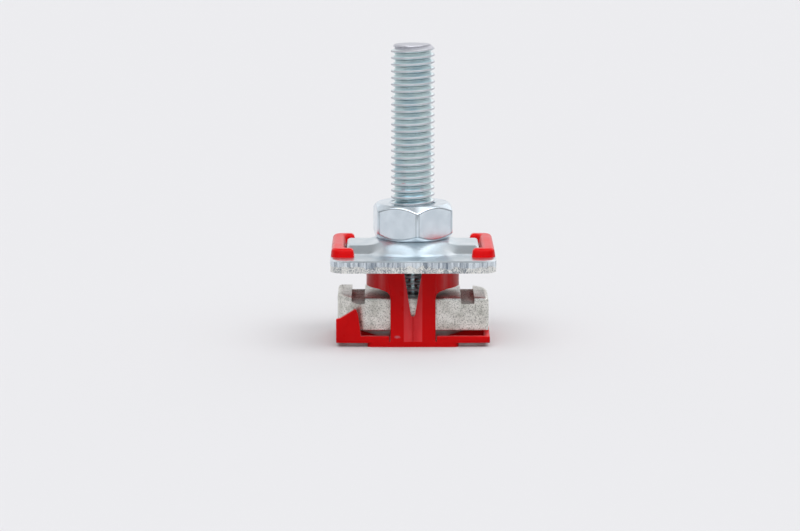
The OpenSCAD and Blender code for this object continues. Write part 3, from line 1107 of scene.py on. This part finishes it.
    def dress(self) -> bpy.types.Object:
        """Builds the plate and gives it pressed, plated steel with sheared edges.

        Returns:
            The dressed plate.
        """
        made = self.build()
        for face in made.data.polygons:
            face.material_index = 1 if abs(face.normal.z) < self.edge_lean else 0
        pressed = ZincPlating("zinc_plated_pressed_steel", bright="#E0E7EB", dull="#D2DDE2",
                              cloud_mm=4.0, grit_depth_mm=0.003, smooth=0.27, rough=0.37)
        return self.settle(made, pressed.material(), ShearedEdge().material())


@dataclass
class ChannelNut(Piece):
    """Hammer-head nut with a turning corner at each end, rolled top edges and toothed grooves."""

    node: str = "channel_nut"
    slot: str = "head_zinc"
    body: Body = Body.FASTENER
    length: float = 34.0
    width: float = 18.6
    turn_r: float = 7.0
    turn_parts: int = 20
    square_r: float = 0.8
    square_parts: int = 5
    top_edge: float = 0.9
    top_parts: int = 6
    foot_edge: float = 0.25
    foot_parts: int = 3
    groove_x: float = 10.8
    groove_w: float = 3.0
    groove_depth: float = 1.0
    tooth_pitch: float = 2.0
    tooth_h: float = 0.6
    tooth_top: float = 0.5
    tooth_lean: tuple[float, float] = (0.3, 0.95)
    bore_r: float = 4.99
    bore_facets: int = 72
    near_corner: float = 0.1
    near_face: float = 0.01

    def forging(self) -> bmesh.types.BMesh:
        """Solid block with its plan corners and its lower and upper edges rounded.

        Returns:
            The block in millimetres.
        """
        low, high = self.height()
        bm = block(self.length, self.width, low, high)
        across, along = self.length / 2 - self.near_corner, self.width / 2 - self.near_corner
        for turning, radius, parts in ((True, self.turn_r, self.turn_parts),
                                       (False, self.square_r, self.square_parts)):
            places = [(e, e.verts[0].co) for e in upright_edges(bm)]
            corners = [e for e, place in places if abs(place.x) > across and abs(place.y) > along
                       and (place.x * place.y > 0) == turning]
            round_edges(bm, corners, radius, parts)
        bmesh.ops.remove_doubles(bm, verts=bm.verts, dist=JOIN)
        rim = [e for e in bm.edges if all(v.co.z > high - self.near_face for v in e.verts)]
        round_edges(bm, rim, self.top_edge, self.top_parts)
        foot = [e for e in bm.edges if all(v.co.z < low + self.near_face for v in e.verts)]
        round_edges(bm, foot, self.foot_edge, self.foot_parts)
        return bm

    def groove(self, side: int) -> bmesh.types.BMesh:
        """Tool that presses one toothed groove, on the given side of the axis.

        Args:
            side: -1 for the left-hand groove, 1 for the right-hand one.

        Returns:
            The tool in millimetres.
        """
        _, high = self.height()
        count = math.floor(self.width / self.tooth_pitch) + 1
        start = -count * self.tooth_pitch / 2
        floor = high - self.groove_depth
        outline = [(high + self.clear, -start), (high + self.clear, start)]
        outline += [(floor - self.tooth_h * (i % 2), start + i * self.tooth_pitch / 2)
                    for i in range(2 * count + 1)]
        bm = prism(outline, self.groove_x, self.groove_x + self.groove_w)
        turn = Matrix(((0, 0, side, 0), (0, side, 0, 0), (1, 0, 0, 0), (0, 0, 0, 1)))
        bmesh.ops.transform(bm, matrix=turn, verts=bm.verts)
        return bm

    def build(self) -> bpy.types.Object:
        """Shapes the block, presses both grooves and bores it for the stud.

        Returns:
            The channel nut in millimetres.
        """
        made = new_object(self.forging(), "head_toothed")
        for side in (-1, 1):
            combine(made, new_object(self.groove(side), "groove"), Cut.REMOVE)
        bore = self.drill(self.bore_r, self.bore_facets)
        combine(made, new_object(bore, "bore"), Cut.REMOVE)
        return made

    def dress(self) -> bpy.types.Object:
        """Builds the channel nut and gives it grainy, plated steel, duller on its teeth.

        Returns:
            The dressed channel nut.
        """
        made = self.build()
        _, high = self.height()
        near = self.groove_x - self.near_face
        far = self.groove_x + self.groove_w + self.near_face
        for face in made.data.polygons:
            inside = near < abs(face.center.x) < far and face.center.z < high - self.tooth_top
            slanted = self.tooth_lean[0] < face.normal.z < self.tooth_lean[1]
            face.material_index = 1 if inside and slanted else 0
        toothed = GrainySteel("zinc_plated_pressed_teeth", pale="#CFCFC9", shade="#B4B5B0",
                              rough=0.6, metal=0.35)
        return self.settle(made, GrainySteel().material(), toothed.material())


@dataclass
class SpringCage(Piece):
    """One moulding: pads, straps, slotted sleeve, posts, base, arms and horns."""

    node: str = "spring_cage"
    slot: str = "red_plastic"
    body: Body = Body.FASTENER
    cad_join: float = 1e-3
    flat_deg: float = 1.0
    edge_r: float = 0.15
    edge_parts: int = 3
    edge_deg: float = 32.0
    edge_top: float = 10.5
    edge_least: float = 0.3
    pad_near: float = 12.5
    pad_far: float = 19.5
    pad_clear: float = 4.0
    pad_trim: float = 0.02
    pad_sink: float = 0.05
    pad_spare: float = 0.3
    pad_low: float = 20.55
    pad_h: float = 1.95
    pad_mid: float = 15.75
    pad_half_l: float = 2.65
    pad_half_d: float = 12.4
    pad_corner_r: float = 2.4
    pad_tip_r: float = 0.9
    pad_round: float = 1.0
    pad_draft: float = 8.0
    web_in: float = 15.3
    notch_half: float = 9.5
    notch_r: float = 1.2
    cell: float = 0.1
    post_out: float = 11.0
    seam_w: float = 0.16
    seam_depth: float = 0.6
    seam_low: float = 1.3
    seam_high: float = 7.0
    opening_low: float = 6.8
    opening_high: float = 17.7
    opening_half: float = 2.13
    opening_tip_r: float = 0.5
    opening_tip_parts: int = 12
    slant_half: float = 4.8
    slant_front: float = 0.75
    slant_rise: float = 0.6
    slant_lean: tuple[float, float] = (0.08, 0.5)

    def pad_rise(self, x: float, y: float) -> float:
        """Height of the right-hand pad above the sheet: a rounded top and drafted walls.

        Args:
            x: place across the plate.
            y: place along it, from front to back.

        Returns:
            The height in millimetres, negative outside the pad.
        """
        along = x - self.pad_mid
        corner = self.pad_corner_r if along > 0 else self.pad_tip_r
        outer = rounded_gap(along, y, self.pad_half_l, self.pad_half_d, corner)
        mouth = self.pad_half_l - self.pad_mid
        notch = rounded_gap(x + mouth, y, self.web_in + mouth, self.notch_half, self.notch_r)
        wall = self.pad_h - self.pad_round
        inside = min(outer, -notch) - wall / self.pad_draft
        if inside < 0:
            return wall + inside * self.pad_draft
        return wall + math.sqrt(self.pad_round ** 2 - max(0.0, self.pad_round - inside) ** 2)

    def pad(self, side: int, seat: float) -> bmesh.types.BMesh:
        """Soft C-shaped pad.

        Args:
            side: -1 for the left-hand pad, 1 for the right-hand one.
            seat: height of its underside.

        Returns:
            The closed solid.
        """
        width = 2 * (self.pad_half_l + self.pad_spare)
        depth = 2 * (self.pad_half_d + self.pad_spare)
        bm = bmesh.new()
        bmesh.ops.create_grid(bm, x_segments=round(width / self.cell),
                              y_segments=round(depth / self.cell), size=UNIT_HALF)
        bmesh.ops.scale(bm, verts=bm.verts, vec=(width, depth, 1))
        for vert in bm.verts:
            vert.co.z = self.pad_low + self.pad_rise(self.pad_mid + vert.co.x, vert.co.y)
            vert.co.x = side * (self.pad_mid + vert.co.x)
        bmesh.ops.bisect_plane(bm, geom=bm.verts[:] + bm.edges[:] + bm.faces[:], dist=PLANE,
                               plane_co=(0, 0, seat), plane_no=(0, 0, 1), clear_inner=True)
        bmesh.ops.contextual_create(bm, geom=[e for e in bm.edges if e.is_boundary])
        return bm

    def opening(self) -> bmesh.types.BMesh:
        """Tool that cuts the tapered opening through both posts and the sleeve.

        Returns:
            The tool in millimetres.
        """
        radius, middle = self.opening_tip_r, self.opening_low + self.opening_tip_r
        parts = self.opening_tip_parts
        turns = [math.pi + math.pi * i / parts for i in range(parts + 1)]
        outline = [(self.opening_half, self.opening_high), (-self.opening_half, self.opening_high)]
        outline += [(radius * math.cos(turn), middle + radius * math.sin(turn)) for turn in turns]
        bm = prism(outline, -self.post_out - self.clear, self.post_out + self.clear)
        upright = Matrix(((1, 0, 0, 0), (0, 0, 1, 0), (0, 1, 0, 0), (0, 0, 0, 1)))
        bmesh.ops.transform(bm, matrix=upright, verts=bm.verts)
        return bm

    def build(self) -> bpy.types.Object:
        """Takes a merged copy of the CAD moulding and refines it.

        Its lower edges are rounded, its opening and seams are cut, and soft pads replace the
        plain ones.

        Returns:
            The cage in millimetres.
        """
        bm = bmesh.new()
        bm.from_mesh(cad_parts[self.node].data)
        bmesh.ops.scale(bm, verts=bm.verts, vec=(1 / MM, 1 / MM, 1 / MM))
        bmesh.ops.remove_doubles(bm, verts=bm.verts, dist=self.cad_join)
        bmesh.ops.dissolve_limit(bm, angle_limit=math.radians(self.flat_deg), verts=bm.verts,
                                 edges=bm.edges)
        sharp = [e for e in bm.edges if e.is_manifold and e.is_convex
                 and e.calc_length() > self.edge_least
                 and e.calc_face_angle(0) > math.radians(self.edge_deg)
                 and sum(v.co.z for v in e.verts) / 2 < self.edge_top]
        round_edges(bm, sharp, self.edge_r, self.edge_parts)
        made = new_object(bm, "cage_moulded")
        combine(made, new_object(self.opening(), "opening"), Cut.REMOVE)
        end, half = self.pad_half_d + self.clear, self.seam_w / 2
        inner, outer = self.post_out - self.seam_depth, self.post_out + self.clear
        for side in (-1, 1):
            above = prism(rectangle(self.pad_near * side, self.pad_far * side, -end, end),
                          self.pad_low - self.pad_trim, self.pad_low + self.pad_clear)
            combine(made, new_object(above, "above"), Cut.REMOVE)
            pad = self.pad(side, self.pad_low - self.pad_sink)
            combine(made, new_object(pad, "pad"), Cut.ADD)
            seam = prism(rectangle(-half, half, inner * side, outer * side),
                         self.seam_low, self.seam_high)
            combine(made, new_object(seam, "seam"), Cut.REMOVE)
        return made

    def dress(self) -> bpy.types.Object:
        """Builds the cage and gives it red polyamide, with a painted sheen: paler red on the slants
        beside its opening.

        Returns:
            The dressed cage.
        """
        made = self.build()
        for face in made.data.polygons:
            lean, front, rise = [abs(part) for part in face.normal]
            middle = abs(face.center.x) < self.slant_half and front > self.slant_front
            slanted = self.slant_lean[0] < lean < self.slant_lean[1] and rise < self.slant_rise
            face.material_index = 1 if middle and slanted else 0
        # Painted sheen: the slants face the bright sides, so their red is painted paler and whiter;
        # their slightly different gloss is the mould's own finish.
        painted_sheen = RedPolyamide("red_polyamide_painted_sheen", body="#F53B40", deep="#EA3338",
                                gloss=0.3, matt=0.36)
        return self.settle(made, RedPolyamide().material(), painted_sheen.material())


@dataclass(frozen=True)
class SoftBox:
    """Soft patch of the surround, brighter or darker than the rest.

    The azimuth counts from the front towards the right, and the patch fades out between its two
    half angles.
    """

    azimuth: float
    rise: float
    inner: float
    outer: float
    level: float

    def direction(self) -> tuple[float, float, float]:
        """Unit vector from the object towards the patch."""
        turn, tilt = math.radians(self.azimuth), math.radians(self.rise)
        return math.sin(turn) * math.cos(tilt), -math.cos(turn) * math.cos(tilt), math.sin(tilt)


@dataclass
class Studio:
    """Pale floor and a pale surround with soft bright and dark patches, far away and so even."""

    floor_half: float = 6.0
    floor_colour: str = "#E4E4E5"
    bounce_colour: str = "#909092"
    surround_colour: str = "#FDFDFF"
    surround: float = 0.6
    patches: tuple[SoftBox, ...] = (
        SoftBox(180, 8, 22, 52, 0.3),
        SoftBox(4, 16, 10, 32, -0.3),
        SoftBox(-56, 18, 10, 36, -0.34),
        SoftBox(68, 18, 10, 36, -0.34),
        SoftBox(0, 44, 14, 40, 0.5),
        SoftBox(-45, 60, 11, 30, 1.6),
        SoftBox(65, 60, 11, 30, 2.2),
        SoftBox(-150, 36, 8, 28, 0.15),
        SoftBox(150, 36, 8, 28, 0.44),
        SoftBox(180, 80, 14, 38, -0.34),
    )

    def floor(self) -> None:
        """Lays the pale floor, which throws less light on the object than it shows to the eye."""
        bm = bmesh.new()
        bmesh.ops.create_grid(bm, x_segments=1, y_segments=1, size=self.floor_half)
        made = new_object(bm, "floor")
        paper, tree = new_material("matt_white_paper")
        path = add_node(tree, "ShaderNodeLightPath").outputs
        seen: bpy.types.NodeSocket = path["Is Camera Ray"]
        for kind in ("Is Glossy Ray", "Is Transmission Ray"):
            seen = add_node(tree, "ShaderNodeMath", {0: seen, 1: path[kind]},
                            operation="MAXIMUM").outputs[0]
        colour = add_node(tree, "ShaderNodeMix", {
            0: seen, 6: linear(self.bounce_colour), 7: linear(self.floor_colour)}, data_type="RGBA")
        shader = add_node(tree, "ShaderNodeBsdfPrincipled", {
            "Base Color": colour.outputs[2], "Roughness": 0.9, "Specular IOR Level": 0.0})
        add_node(tree, "ShaderNodeOutputMaterial", {"Surface": shader.outputs[0]})
        made.data.materials.append(paper)

    def world(self) -> None:
        """Surrounds the object with pale light, brighter and darker in its patches."""
        made = bpy.data.worlds.new("studio")
        bpy.context.scene.world = made
        made.use_nodes = True
        tree = made.node_tree
        tree.nodes.clear()
        ray = add_node(tree, "ShaderNodeTexCoord").outputs["Generated"]
        level: bpy.types.NodeSocket | float = self.surround
        for patch in self.patches:
            near = add_node(tree, "ShaderNodeVectorMath", {0: ray, 1: patch.direction()},
                            operation="DOT_PRODUCT")
            share = add_node(tree, "ShaderNodeMapRange", {
                "Value": near.outputs["Value"], "From Min": math.cos(math.radians(patch.outer)),
                "From Max": math.cos(math.radians(patch.inner)), "To Max": patch.level},
                interpolation_type="SMOOTHSTEP")
            level = add_node(tree, "ShaderNodeMath", {0: level, 1: share.outputs[0]},
                             operation="ADD").outputs[0]
        sky = add_node(tree, "ShaderNodeBackground", {
            "Color": linear(self.surround_colour), "Strength": level})
        add_node(tree, "ShaderNodeOutputWorld", {"Surface": sky.outputs[0]})

    def build(self) -> None:
        """Sets up the floor, the surround and the plain view."""
        self.floor()
        self.world()
        bpy.context.scene.view_settings.view_transform = "Standard"


@dataclass
class PhotoCamera:
    """Camera at the photograph's place, looking slightly down at the plate's front edge."""

    lens: float = 138.0
    sensor: float = 36.0
    clip: tuple[float, float] = (0.05, 50.0)
    distance: float = 695.3
    pitch_deg: float = 9.3
    yaw_deg: float = 0.2
    aim: tuple[float, float, float] = (0.0, 0.0, 20.55)
    aim_pixel: tuple[float, float] = (412.7, 249.0)
    image: tuple[int, int] = (800, 531)

    def build(self) -> None:
        """Places the camera so that the aim point falls on its pixel."""
        data = bpy.data.cameras.new("camera")
        data.lens = self.lens
        data.sensor_width = self.sensor
        data.clip_start, data.clip_end = self.clip
        pitch, yaw = math.radians(self.pitch_deg), math.radians(self.yaw_deg)
        level = math.cos(pitch)
        forward = Vector((math.sin(yaw) * level, math.cos(yaw) * level, -math.sin(pitch)))
        right = Vector((math.cos(yaw), -math.sin(yaw), 0))
        up = right.cross(forward)
        per_pixel = self.distance * self.sensor / self.lens / self.image[0]
        across = (self.aim_pixel[0] - self.image[0] / 2) * per_pixel
        above = (self.image[1] / 2 - self.aim_pixel[1]) * per_pixel
        place = Vector(self.aim) - forward * self.distance - right * across - up * above
        made = bpy.data.objects.new("camera", data)
        made.location = place * MM
        made.rotation_euler = forward.to_track_quat("-Z", "Y").to_euler()
        bpy.context.scene.collection.objects.link(made)
        bpy.context.scene.camera = made


def main() -> None:
    """Builds the camera, the studio and every piece."""
    logging.basicConfig(level=logging.INFO, format="%(name)s: %(message)s")
    PhotoCamera().build()
    Studio().build()
    for piece in (ThreadedStud(), HexNut(), ClampPlate(), ChannelNut(), SpringCage()):
        piece.dress()


if __name__ == "__main__":
    main()
